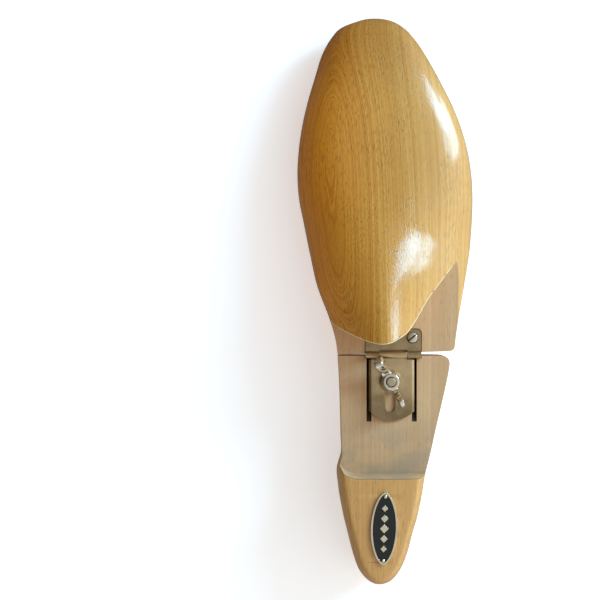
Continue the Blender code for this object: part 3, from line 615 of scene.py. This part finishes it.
def forepart_body(around=104, steps=110):
    side = {key: from_end(pairs, TOE_Y) for key, pairs in (
        ("lateral", LATERAL_SIDE), ("medial", MEDIAL_SIDE), ("top", TOP_LINE), ("sole", SOLE_LINE),
        ("girth", GIRTH_LINE), ("crown", CROWN_LINE), ("square", SOLE_SQUARENESS),
        ("dome_lateral", DOME_LATERAL), ("dome_medial", DOME_MEDIAL))}
    reach = math.sqrt(TOE_Y)
    face_y, slant = JOINT_FACE
    stations = [TOE_Y - (reach * i / steps) ** 2 for i in range(steps, 0, -1)]
    stations = [y for y in stations if y > face_y + FORE_CORNER_R + 0.8]
    stations = [face_y + rise for rise in (0, 0.1, 0.35, 0.8, 1.4, FORE_CORNER_R)] + stations
    rings = [forepart_ring(y, side, around) for y in stations]
    for r, y in enumerate(stations[:6]):
        fade = 1 - 0.15 * (y - face_y)
        rings[r] = [(x, y + fade * slant * (x - MEDIAL_SIDE[-1][1]), z) for x, _, z in rings[r]]
    verts = [v for ring in rings for v in ring]
    faces = ring_faces(len(rings), around, capped=False)
    faces.append(tuple(range(around)))
    tip = len(verts)
    verts.append((TOE_TIP_X, TOE_Y, TOE_TIP_Z))
    last = (len(rings) - 1) * around
    faces += [(last + i, last + (i + 1) % around, tip) for i in range(around)]
    body = mesh_object("forepart_wood", verts, faces)
    for face in body.data.polygons:
        face.material_index = 1 if len(face.vertices) == around else 0
    return body


def ruled_cutter(name, foot, lip, back, rise):
    """Everything above the shelf on one side of a wall, ruled from its foot to its lip."""
    count = len(foot)
    verts = [(x, y, SHELF_Z) for x, y in foot + back] + [(x, y, SHELF_Z + rise) for x, y in lip + back]
    return mesh_object(name, verts, ring_faces(2, count + len(back)), 1)


def round_rim(thing, width):
    """Round the edges above the shelf where the first two materials meet, in the third."""
    form = bmesh.new()
    form.from_mesh(thing.data)
    bmesh.ops.remove_doubles(form, verts=form.verts, dist=0.00012)
    bmesh.ops.dissolve_degenerate(form, edges=form.edges, dist=0.00005)
    rim = []
    for edge in form.edges:
        meeting = {face.material_index for face in edge.link_faces} == {0, 1}
        above = min(vert.co.z for vert in edge.verts) > (SHELF_Z + 1.5) * 0.001
        if meeting and above and edge.calc_face_angle(0) > math.radians(25):
            rim.append(edge)
    bmesh.ops.bevel(form, geom=rim, offset=width * 0.001, offset_type="OFFSET", segments=3, profile=0.5,
                    affect="EDGES", clamp_overlap=False, material=2)
    form.to_mesh(thing.data)
    form.free()


def forepart():
    body = forepart_body()
    foot, lip = plan_curve(TONGUE_FOOT, 110), plan_curve(TONGUE_LIP, 110, TONGUE_FOOT)
    past = 1.2
    above = [(f[0] + (g[0] - f[0]) * past, f[1] + (g[1] - f[1]) * past) for f, g in zip(foot, lip)]
    back = [(-60, 30), (-60, -20), (60, -20), (60, 66)]
    shelf = ruled_cutter("cut_shelf", foot, above, back, (TONGUE_Z - SHELF_Z) * past)
    carve(body, [shelf])
    half, corner = LEAF_HALF_WIDTH + 0.5, 2.4
    mortise = [(-half, -3), (half, -3)]
    mortise += arc((half - corner, LEAF_FRONT_Y + 0.5 - corner), corner, 0, 90, 8)
    mortise += arc((corner - half, LEAF_FRONT_Y + 0.5 - corner), corner, 90, 180, 8)
    tools = [prism("cut_mortise", mortise, SHELF_Z - SHEET, SHELF_Z + 6, material_index=1),
             rod_x("cut_groove", BARREL_R + 0.4, -half, half, material_index=1)]
    for x in (-SCREW_X, SCREW_X):
        pilot = [(SCREW_HOLE_R, SHELF_Z - SCREW_LENGTH - 1), (SCREW_HOLE_R, SHELF_Z + 1)]
        tools.append(lathe("cut_pilot", pilot, (x, SCREW_Y), 24, 1))
    carve(body, tools)
    round_rim(body, 0.6)
    shade(body, 38)
    dress(body, "forepart", "forepart", "beech", LACQUER, RAW, RIM)


def heel_outline(steps=80):
    """The plan, from the medial front round the heel to the lateral front, with paired sides."""
    medial, lateral = from_end(HEEL_MEDIAL, HEEL_END_Y), from_end(HEEL_LATERAL, HEEL_END_Y)
    reach = math.sqrt(HEEL_FRONT_Y - HEEL_END_Y)
    stations = [HEEL_END_Y + (reach * i / steps) ** 2 for i in range(1, steps)]
    stations = [y for y in stations if y < HEEL_FRONT_Y - HEEL_CORNER_R]
    stations += [HEEL_FRONT_Y - HEEL_CORNER_R * (1 - math.sin(math.radians(a))) for a in range(0, 91, 9)]
    outer = [(lateral(y) - rounded_corner(y, HEEL_FRONT_Y, HEEL_CORNER_R), y) for y in stations]
    return [(medial(y), y) for y in reversed(stations)] + [(HEEL_MEDIAL[-1][1], HEEL_END_Y)] + outer


def heel_levels():
    """(medial draw, lateral draw, height above the sole or None, height or None) up the sides."""
    medial, lateral = HEEL_BEVEL
    levels = [(5.5, 5.5, 0, None), (4.2, 4.2, 0.25, None), (2.9, 2.9, 0.8, None), (1.8, 1.8, 1.6, None),
              (1.0, 1.0, 2.7, None), (0.45, 0.45, 4.1, None), (0.1, 0.1, 5.8, None), (0, 0, 7.5, None),
              (0, 0, None, HEEL_SHOULDER_Z - 0.6)]
    rise = HEEL_TOP_Z - HEEL_SHOULDER_Z
    for share, height in ((0.05, 0.09), (0.25, 0.28), (0.5, 0.52), (0.76, 0.77), (0.9, 0.875),
                          (1.03, 0.935), (1.2, 0.968), (1.45, 0.988), (1.8, 1.0)):
        levels.append((medial * share, lateral * share, None, HEEL_SHOULDER_Z + rise * height))
    return levels


def heel_block_body():
    outline = heel_outline()
    count = len(outline)
    sole = spline(HEEL_SOLE_LINE)
    levels = heel_levels()
    verts = []
    for draw_medial, draw_lateral, above_sole, height in levels:
        for x, y in outline:
            spine_x, spine_y = -6.5 + 0.062 * (y - HEEL_END_Y), max(y, HEEL_END_Y + 13)
            away = Vector((spine_x - x, spine_y - y))
            blend = 0.5 - 0.5 * away.normalized().x
            draw = (draw_medial + (draw_lateral - draw_medial) * blend) / away.length
            px, py = x + away.x * draw, y + away.y * draw
            base = max(float(sole(py)), 0.0)
            verts.append((px, py, height if above_sole is None else base + above_sole))
    faces = ring_faces(len(levels), count, capped=False)
    for start in (0, (len(levels) - 1) * count):
        for i in range(count // 2):
            across = [start + i, start + i + 1, start + count - 2 - i, start + count - 1 - i]
            faces.append(tuple(dict.fromkeys(across)))
    return mesh_object("heel_block_wood", verts, faces)


def kerf_cutter(name, low, high):
    """A groove left by a circular saw, running out towards the heel."""
    blade, depth, run_out = 45.0, 9.0, -31.5
    reach = math.sqrt(2 * blade * depth - depth ** 2)
    start = run_out + reach
    profile = [(4, SHELF_Z + 3), (4, SHELF_Z - depth)]
    for i in range(17):
        y = start - reach * i / 16
        profile.append((y, SHELF_Z - math.sqrt(blade ** 2 - (start - y) ** 2) + blade - depth))
    profile.append((run_out, SHELF_Z + 3))
    return prism(name, profile, low, high, axis="X", material_index=3)


def heel_block():
    body = heel_block_body()
    slope, rise = 0.16, HEEL_TOP_Z + 3 - SHELF_Z
    foot = plan_curve(STEP_FOOT, 80)
    lip = [(x, y - slope * rise) for x, y in foot]
    milled = ruled_cutter("cut_heel_step", foot, lip, [(-45, 8), (45, 8)], rise)
    carve(body, [milled])
    inner, outer = PLATE_HALF_WIDTH - 1.4, PLATE_HALF_WIDTH + 1.0
    half = LEAF_HALF_WIDTH + 0.5
    stud_hole = [(STUD_HOLE_R, SHELF_Z - STUD_DEPTH - 0.5), (STUD_HOLE_R, SHELF_Z + 1)]
    tools = [kerf_cutter("cut_kerf", PLATE_X - outer, PLATE_X - inner),
             kerf_cutter("cut_kerf", PLATE_X + inner, PLATE_X + outer),
             rod_x("cut_groove", BARREL_R + 0.4, -half, half, material_index=1),
             lathe("cut_stud_hole", stud_hole, (STUD_X, STUD_Y), 32, 1)]
    for x, y in badge_pins():
        tools.append(lathe("cut_pin_hole", [(1.0, HEEL_TOP_Z - 6), (1.0, HEEL_TOP_Z + 1)], (x, y), 20, 1))
    carve(body, tools)
    round_rim(body, 0.3)
    shade(body, 38)
    dress(body, "heel", "heel_block", "beech", SATIN, RAW, DARK_EDGE, KERF_SHADE)


# ---- hinge ----------------------------------------------------------------------------------
def hinge_leaf():
    half, corner = LEAF_HALF_WIDTH, 2.3
    low, high = SHELF_Z - SHEET + GAP, SHELF_Z + GAP
    cutout, strap_y = KNUCKLE_HALF_WIDTH + 0.35, HINGE_Y + 0.45
    outline = [(-half, strap_y), (-cutout, strap_y), (-cutout, 3.8),
               (cutout, 3.8), (cutout, strap_y), (half, strap_y)]
    outline += arc((half - corner, LEAF_FRONT_Y - corner), corner, 0, 90, 10)
    outline += arc((corner - half, LEAF_FRONT_Y - corner), corner, 90, 180, 10)
    leaf = prism("hinge_leaf_metal", outline, low, high)
    carve(leaf, [rod_x("knuckle", BARREL_R, low_x, high_x)
                 for low_x, high_x in ((-half, -cutout), (cutout, half))], "UNION")
    tools = [rod_x("bore", PIN_R + GAP, -half - 1, half + 1)]
    for x in (-SCREW_X, SCREW_X):
        sink = [(SCREW_HOLE_R, low - 1), (SCREW_HOLE_R, low), (SCREW_HEAD_R + 0.3, high + 0.01),
                (SCREW_HEAD_R + 0.3, high + 1)]
        tools.append(lathe("sink", sink, (x, SCREW_Y), 48))
    carve(leaf, tools)
    soften(leaf, 0.12)
    dress(leaf, "forepart", "hinge_leaf", "hinge_steel", NICKEL)


def leaf_screw(name, node, x, slot_turn):
    """A slotted raised countersunk wood screw."""
    top = SHELF_Z + GAP
    profile = [(0, top - SCREW_LENGTH), (0.5, top - 12.6)]
    for i in range(6):
        z = top - 12 + 1.3 * i
        profile += [(0.85, z), (1.3, z + 0.35), (0.9, z + 0.75)]
    profile += [(1.25, top - 4), (1.25, top - 0.95),
                (SCREW_HEAD_R - 0.12, top + 0.1), (SCREW_HEAD_R, top + 0.2)]
    profile += [(SCREW_HEAD_R * math.cos(a), top + 0.22 + 0.72 * math.sin(a))
                for a in (0.15, 0.4, 0.7, 1.0, 1.3)] + [(0, top + 0.94)]
    screw = lathe(name, profile, (x, SCREW_Y), 48)
    reach = SCREW_HEAD_R + 0.5
    c, s = math.cos(slot_turn), math.sin(slot_turn)
    slot = [(x + a * c - b * s, SCREW_Y + a * s + b * c)
            for a, b in ((-reach, -0.38), (reach, -0.38), (reach, 0.38), (-reach, 0.38))]
    carve(screw, [prism("slot", slot, top + 0.12, top + 2, material_index=1)])
    soften(screw, 0.07)
    dress(screw, "forepart", node, "screw_steel", BRIGHT, SLOT_SHADE)


def hinge_pin():
    half = LEAF_HALF_WIDTH - 0.2
    pin = soften(rod_x("hinge_pin_metal", PIN_R, -half, half, sides=32), 0.15)
    dress(pin, "forepart", "hinge_pin", "hinge_steel", BRIGHT)


def channel_section():
    """The adjuster plate's section in (x, z): a flat top, two bends and two flanges."""
    half, bend, deep = PLATE_HALF_WIDTH, 1.7, 6.5
    top, wall = PLATE_Z + SHEET, 1.1
    inner_bend = bend - wall
    outer = arc((PLATE_X + half - bend, top - bend), bend, 0, 90, 10)
    outer += arc((PLATE_X - half + bend, top - bend), bend, 90, 180, 10)
    inner = arc((PLATE_X - half + bend, top - bend), inner_bend, 180, 90, 6)
    inner += arc((PLATE_X + half - bend, top - bend), inner_bend, 90, 0, 6)
    inner = [(x, min(z, PLATE_Z)) for x, z in inner]
    left, right = PLATE_X - half, PLATE_X + half
    return ([(right, SHELF_Z - deep)] + outer + [(left, SHELF_Z - deep), (left + wall, SHELF_Z - deep)]
            + inner + [(right - wall, SHELF_Z - deep)])


def adjuster_plate():
    front = HINGE_Y - BARREL_R - 0.6
    plate = prism("adjuster_plate_metal", channel_section(), PLATE_END_Y, front, axis="Y")
    half = KNUCKLE_HALF_WIDTH
    strap = prism("strap", [(-half, front - 1), (half, front - 1), (half, HINGE_Y), (-half, HINGE_Y)],
                  PLATE_Z, PLATE_Z + SHEET)
    carve(plate, [strap, rod_x("knuckle", BARREL_R, -half, half)], "UNION")
    sagitta = PLATE_SIDE_END_Y - PLATE_END_Y
    radius = (PLATE_HALF_WIDTH ** 2 + sagitta ** 2) / (2 * sagitta)
    sweep = math.degrees(math.asin(PLATE_HALF_WIDTH / radius))
    end = arc((PLATE_X, PLATE_END_Y + radius), radius, 270 - sweep, 270 + sweep, 28)
    corners = [(PLATE_X + 14, PLATE_SIDE_END_Y), (PLATE_X + 14, PLATE_END_Y - 3),
               (PLATE_X - 14, PLATE_END_Y - 3), (PLATE_X - 14, PLATE_SIDE_END_Y)]
    round_end = prism("round_end", end + corners, SHELF_Z - 9, SHELF_Z + 4)
    taper = prism("taper", [(front + 2, SHELF_Z - 6.2), (-4, SHELF_Z - 6.2), (-25.5, SHELF_Z - 1.6),
                            (-27.5, PLATE_Z), (PLATE_END_Y - 3, PLATE_Z), (PLATE_END_Y - 3, SHELF_Z - 9),
                            (front + 2, SHELF_Z - 9)], PLATE_X - 14, PLATE_X + 14, axis="X")
    half = SLOT_HALF_WIDTH
    slot = arc((STUD_X, STUD_Y), half, 0, 180, 20) + arc((STUD_X, SLOT_END_Y + half), half, 180, 360, 20)
    carve(plate, [round_end, taper, prism("slot", slot, SHELF_Z - 2, SHELF_Z + 4),
                  rod_x("bore", PIN_R + GAP, -LEAF_HALF_WIDTH, LEAF_HALF_WIDTH)])
    soften(plate, 0.14)
    dress(plate, "adjuster", "adjuster_plate", "hinge_steel", PLATE_NICKEL)


# ---- clamp ----------------------------------------------------------------------------------
def clamp_stud():
    profile = [(0, SHELF_Z - STUD_DEPTH), (1.4, SHELF_Z - 17)]
    for i in range(5):
        z = SHELF_Z - 16 + 2.4 * i
        profile += [(1.9, z), (2.7, z + 0.7), (1.9, z + 1.4)]
    z = SHELF_Z - 3
    while z < NUT_BASE_Z + NUT_BODY_H - 0.6:
        profile += [(STUD_R, z), (STUD_R, z + 0.1), (STUD_R - 0.35, z + 0.4), (STUD_R - 0.35, z + 0.5)]
        z += 0.8
    top = NUT_BASE_Z + NUT_BODY_H
    profile += [(STUD_R, top - 0.1), (STUD_R - 0.03, top + 0.3), (STUD_R - 0.25, top + 0.5), (0, top + 0.56)]
    stud = shade(lathe("clamp_stud_metal", profile, (STUD_X, STUD_Y), 48), 30)
    dress(stud, "heel", "clamp_stud", "screw_steel", WORN_STEEL)


def clamp_washer():
    low = PLATE_Z + SHEET + GAP
    hole_r, centre = STUD_R + 0.35, (STUD_X, STUD_Y)
    washer = lathe("clamp_washer_metal", [(WASHER_R, low), (WASHER_R, low + WASHER_H)], centre, 64)
    carve(washer, [lathe("hole", [(hole_r, low - 1), (hole_r, low + 3)], centre, 48)])
    soften(washer, 0.2, 3)
    dress(washer, "washer", "clamp_washer", "screw_steel", NICKEL)


def wing(name, turn, lean, root):
    """One leaning wing: an ear drawn in (reach, height); root is half its thickness there."""
    ear = arc((10.3, NUT_H - 3.3), 3.3, -50, 105, 16)
    outline = [(2.9, 1.0), (5.0, 1.4), (6.7, 2.4), (8.2, 3.6), (10.4, 5.4)] + ear
    outline += [(7.9, 11.2), (6.6, 8.9), (5.6, 7.2), (4.4, 6.2), (2.9, 6.1)]
    verts = []
    for side in (-1, 1):
        for reach, height in outline:
            across = side * (root - 0.06 * reach) + lean * (height / NUT_H) ** 2
            verts.append((STUD_X + reach * math.cos(turn) - across * math.sin(turn),
                          STUD_Y + reach * math.sin(turn) + across * math.cos(turn), NUT_BASE_Z + height))
    return mesh_object(name, verts, ring_faces(2, len(outline)))


def wing_nut():
    """A cast wing nut: body and wings melted together, smoothed, then bored."""
    base = NUT_BASE_Z
    profile = [(0, base), (5.2, base), (5.5, base + 0.4), (5.5, base + 1.2), (4.8, base + 3.2),
               (4.2, base + NUT_BODY_H - 0.6), (3.9, base + NUT_BODY_H), (0, base + NUT_BODY_H)]
    nut = lathe("wing_nut_chrome", profile, (STUD_X, STUD_Y), 64)
    carve(nut, [wing("wing", NUT_TURN, 2.4, 2.6), wing("wing", NUT_TURN + math.pi, 0.4, 1.8)], "UNION")
    melt = nut.modifiers.new("melt", "REMESH")
    melt.mode = "VOXEL"
    melt.voxel_size = 0.00022
    smooth = nut.modifiers.new("smooth", "SMOOTH")
    smooth.factor = 0.5
    smooth.iterations = 9
    settle(nut)
    bore_r = STUD_R + GAP
    bore = [(bore_r + 0.5, base - 0.5), (bore_r, base + 0.4), (bore_r, base + NUT_BODY_H - 0.2),
            (bore_r + 0.3, base + NUT_BODY_H + 0.1), (bore_r + 0.3, base + NUT_H)]
    carve(nut, [lathe("bore", bore, (STUD_X, STUD_Y), 64)])
    shade(nut, 50)
    dress(nut, "nut", "wing_nut", "bright_chrome", CHROME)


# ---- badge ----------------------------------------------------------------------------------
def badge_place(x, y):
    """A point given from the badge's middle, in the plan."""
    c, s = math.cos(BADGE_TURN), math.sin(BADGE_TURN)
    return BADGE_POINT[0] + x * c + y * s, BADGE_POINT[1] - x * s + y * c


def badge_pins():
    return [badge_place(0, y) for y in (BADGE_PIN_REACH, -BADGE_PIN_REACH)]


def almond(half_length, half_width, steps=96):
    """A pointed oval about the badge's middle, its long axis along the heel."""
    shape = []
    for i in range(steps):
        a = 2 * math.pi * (i + 0.5) / steps
        c = math.cos(a)
        shape.append((half_width * math.copysign(abs(c) ** 1.2, c), half_length * math.sin(a)))
    return [badge_place(x, y) for x, y in shape]


def badge():
    """A metal plate with a sunk black field, a plain row of lozenges, and two pins."""
    rim, hole = 0.9, 0.95
    through = [(hole, BADGE_Z - 1), (hole, BADGE_Z + 2)]
    plate = prism("badge_plate_metal", almond(BADGE_HALF_LENGTH, BADGE_HALF_WIDTH), BADGE_Z, BADGE_Z + 1.0)
    field = (BADGE_HALF_LENGTH - rim, BADGE_HALF_WIDTH - rim)
    tools = [prism("field", almond(*field), BADGE_Z + 0.4, BADGE_Z + 2)]
    tools += [lathe("hole", through, pin, 24) for pin in badge_pins()]
    carve(plate, tools)
    soften(plate, 0.14, 3)
    dress(plate, "heel", "badge_plate", "badge_metal", BADGE_METAL)

    within = almond(field[0] - 0.08, field[1] - 0.08)
    inlay = prism("badge_inlay_enamel", within, BADGE_Z + 0.45, BADGE_Z + 0.86)
    carve(inlay, [lathe("hole", through, pin, 24) for pin in badge_pins()])
    soften(inlay, 0.08)
    dress(inlay, "heel", "badge_inlay", "badge_enamel", ENAMEL)

    for index, (node, (x, y)) in enumerate(zip(("badge_pin_front", "badge_pin_rear"), badge_pins())):
        top = BADGE_Z + 0.9
        head = [(0.85 * math.cos(a), top + 0.34 * math.sin(a)) for a in (0.1, 0.5, 0.9, 1.25)]
        shank = [(0, HEEL_TOP_Z - 5.5), (0.55, HEEL_TOP_Z - 4.5), (0.55, top - 0.1), (0.8, top - 0.08)]
        pin = lathe(node + "_metal", shank + head + [(0, top + 0.35)], (x, y), 32)
        dress(shade(pin, 40), "heel", node, "badge_metal", BADGE_METAL)

    for index in range(LOZENGES):
        place = index - LOZENGES // 2
        step = place * LOZENGE_PITCH
        size = LOZENGE_SIZE - 0.3 * abs(place)
        corners = [badge_place(size * x, size * y + step)
                   for x, y in ((0.95, 0), (0, 1), (-0.95, 0), (0, -1))]
        mark = soften(prism("badge_lozenge_%d" % (index + 1), corners, BADGE_Z + 0.8, BADGE_Z + 0.95), 0.05)
        dress(mark, "heel", None, "badge_metal", BADGE_METAL)


# ---- stage ----------------------------------------------------------------------------------
def stage():
    """A pale floor, and a room that is brightest towards +X and the heel and dim below."""
    size, drop = 4.0, 0.0002
    mesh = bpy.data.meshes.new("floor")
    corners = [(-size, -size, 0), (size, -size, 0), (size, size, 0), (-size, size, 0)]
    mesh.from_pydata(corners, [], [(0, 1, 2, 3)])
    floor = bpy.data.objects.new("floor", mesh)
    bpy.context.scene.collection.objects.link(floor)
    paper = Shader("pale_floor")
    tooth = paper.noise(paper.stretched((0.4, 0.4, 0.4)), detail=2)
    white = paper.blend(tooth, (0.90, 0.90, 0.895), (0.93, 0.93, 0.925))
    paper.put(paper.shader.inputs["Base Color"], white)
    paper.set(Roughness=0.9, Emission_Strength=0.42)
    paper.put(paper.shader.inputs["Emission Color"], (1, 1, 1, 1))
    paper.put(paper.shader.inputs["Specular IOR Level"], 0.1)
    mesh.materials.append(paper.material)
    floor.location.z = lo0[2] - drop
    floor.visible_glossy = False

    world = bpy.data.worlds.new("room")
    bpy.context.scene.world = world
    world.use_nodes = True
    tree = world.node_tree
    direction = tree.nodes.new("ShaderNodeTexCoord")

    def along(axis, *ends):
        """Brightness from one end of an axis to the other: two places, then two values."""
        reach = tree.nodes.new("ShaderNodeVectorMath")
        reach.operation = "DOT_PRODUCT"
        reach.inputs[1].default_value = axis
        tree.links.new(direction.outputs["Generated"], reach.inputs[0])
        ramp = tree.nodes.new("ShaderNodeMapRange")
        tree.links.new(reach.outputs["Value"], ramp.inputs[0])
        for index, value in enumerate(ends, start=1):
            ramp.inputs[index].default_value = value
        return ramp.outputs[0]

    strength = tree.nodes.new("ShaderNodeMath")
    strength.operation = "MULTIPLY"
    tree.links.new(along((0.9, -0.43, 0), -0.65, 0.85, 0.07, 1.3), strength.inputs[0])
    tree.links.new(along((0, 0, 1), -0.3, 0.1, 0.3, 1.0), strength.inputs[1])
    tree.links.new(strength.outputs[0], tree.nodes["Background"].inputs["Strength"])
    tree.nodes["Background"].inputs["Color"].default_value = (0.97, 0.985, 1.0, 1)


def window(name, azimuth, elevation, width, height, watts):
    """A rectangular soft light aimed at the tree; azimuth is from +X towards +Y."""
    distance, daylight = 1.5, (0.42, 0.74, 1.0)
    light = bpy.data.lights.new(name, "AREA")
    light.shape = "RECTANGLE"
    light.size = width
    light.size_y = height
    light.energy = watts
    light.color = daylight
    lamp = bpy.data.objects.new(name, light)
    a, e = math.radians(azimuth), math.radians(elevation)
    away = Vector((math.cos(a) * math.cos(e), math.sin(a) * math.cos(e), math.sin(e)))
    target = Vector((0, 0.02, 0.03))
    lamp.location = target + away * distance
    lamp.rotation_euler = (-away).to_track_quat("-Z", "Y").to_euler()
    bpy.context.scene.collection.objects.link(lamp)


def camera():
    """Straight down from over the middle of the pair that this tree belongs to."""
    lens_height, view_width = 0.85, 0.300
    view_point = JOINT_POINT + Vector((-45.85, 28.25, 20.0)) * 0.001
    data = bpy.data.cameras.new("camera")
    data.sensor_width = 36.0
    data.lens = data.sensor_width * (lens_height - view_point.z) / view_width
    eye = bpy.data.objects.new("camera", data)
    eye.location = (view_point.x, view_point.y, lens_height)
    bpy.context.scene.collection.objects.link(eye)
    bpy.context.scene.camera = eye


forepart()
heel_block()
hinge_leaf()
leaf_screw("leaf_screw_medial_metal", "leaf_screw_medial", -SCREW_X, math.radians(70))
leaf_screw("leaf_screw_lateral_metal", "leaf_screw_lateral", SCREW_X, math.radians(40))
hinge_pin()
adjuster_plate()
clamp_stud()
clamp_washer()
wing_nut()
badge()

stage()
window("window", 37, 33, 0.36, 0.53, 11.0)
window("low_window", 28.6, 18.7, 0.45, 0.86, 16.5)
camera()
bpy.context.scene.view_settings.view_transform = "Standard"
